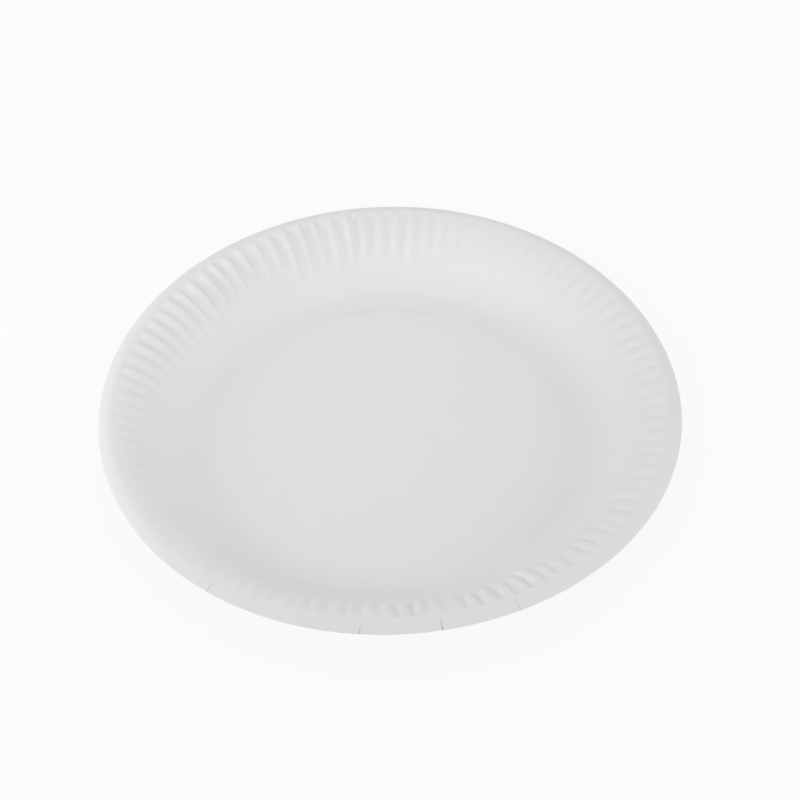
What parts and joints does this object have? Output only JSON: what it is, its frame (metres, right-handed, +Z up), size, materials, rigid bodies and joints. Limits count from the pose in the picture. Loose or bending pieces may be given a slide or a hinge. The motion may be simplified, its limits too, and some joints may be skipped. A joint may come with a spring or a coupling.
{
  "type": "paper plate",
  "caption": "Round pressed-board disposable plate with a flat centre, a fluted sloping wall and a turned-down lip.",
  "frame": {"origin": "centre of the plate, on the table it rests on", "axes": "+Z up, out of the plate's food side; X and Y lie in the table"},
  "size_m": [0.2302, 0.2302, 0.0188],
  "materials": {
    "board": "matte white coated board"
  },
  "bodies": {
    "root": {"plate": "board"}
  },
  "joints": []
}
